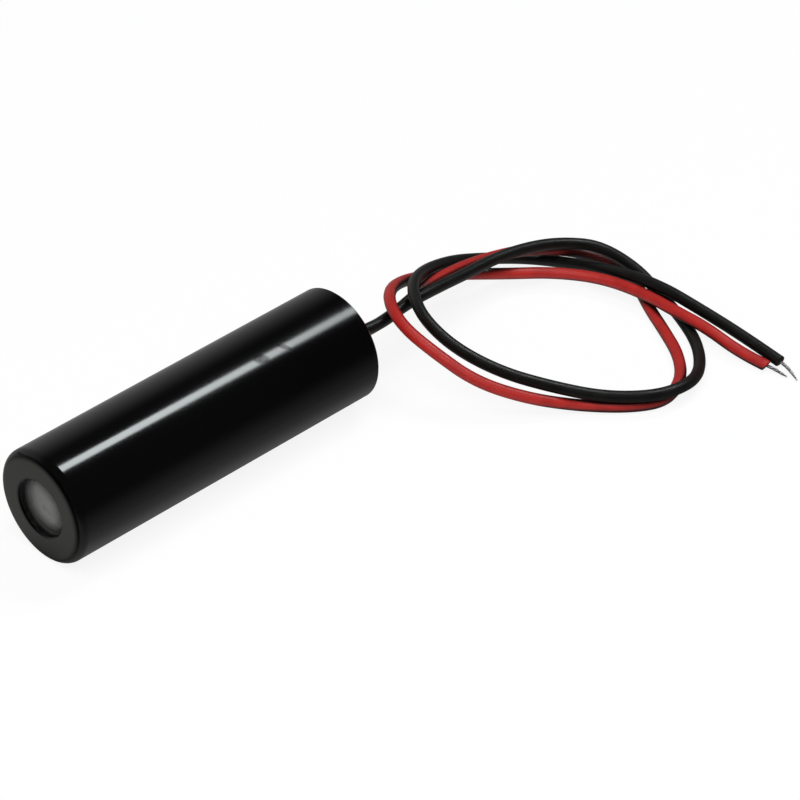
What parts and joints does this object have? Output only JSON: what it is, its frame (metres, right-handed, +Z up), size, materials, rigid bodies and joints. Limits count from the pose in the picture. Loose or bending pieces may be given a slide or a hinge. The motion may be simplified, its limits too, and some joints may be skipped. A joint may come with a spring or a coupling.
{
  "type": "laser diode module",
  "caption": "Black cylindrical laser diode module with a lens behind a round front aperture and loose red and black supply wires with bare ends.",
  "frame": {"origin": "on the optical axis, halfway along the barrel", "axes": "+Y along the optical axis from the lens to the wires, so the beam leaves along -Y; +Z up from the surface that the module lies on; +X to the side where the wires lie"},
  "size_m": [0.0433, 0.0872, 0.014],
  "materials": {
    "anodised_black": "gloss black anodised, lightly scuffed",
    "lens_clear": "polished clear",
    "turned_brass": "turned",
    "gold_plate": "gold plated",
    "nickel_cap": "nickel plated, satin",
    "window_glass": "polished clear",
    "seal_glass": "dark fused glass",
    "chip_dark": "polished semiconductor",
    "submount_pale": "fired ceramic",
    "sleeve_film": "satin black film",
    "board_green": "solder mask over glass laminate",
    "moulding_black": "matt moulding compound",
    "resistor_black": "glazed chip with tinned ends",
    "capacitor_tan": "fired chip with tinned ends",
    "solder": "bright solder",
    "tinned_copper": "tinned strands",
    "wire_red": "soft insulation, slight sheen",
    "wire_black": "soft insulation, slight sheen",
    "plug_black": "potted black resin"
  },
  "bodies": {
    "root": {"barrel": "anodised_black", "lens": "lens_clear", "lens_ring": "anodised_black", "diode_block": "turned_brass", "diode_ring": "turned_brass", "diode_header": "gold_plate", "diode_cap": "nickel_cap", "diode_window": "window_glass", "laser_submount": "submount_pale", "laser_chip": "chip_dark", "monitor_chip": "chip_dark", "cathode_lead": "gold_plate", "monitor_lead": "gold_plate", "common_lead": "gold_plate", "cathode_seal": "seal_glass", "monitor_seal": "seal_glass", "board_sleeve": "sleeve_film", "driver_board": "board_green", "driver_ic": "moulding_black", "pass_transistor": "moulding_black", "protection_diode": "moulding_black", "input_capacitor": "capacitor_tan", "bypass_capacitor": "capacitor_tan", "sense_resistor": "resistor_black", "feedback_resistor": "resistor_black", "bias_resistor": "resistor_black", "cathode_solder": "solder", "monitor_solder": "solder", "common_solder": "solder", "red_solder": "solder", "black_solder": "solder", "red_core": "tinned_copper", "black_core": "tinned_copper", "red_wire": "wire_red", "black_wire": "wire_black", "red_tip": "tinned_copper", "black_tip": "tinned_copper", "rear_plug": "plug_black"}
  },
  "joints": []
}
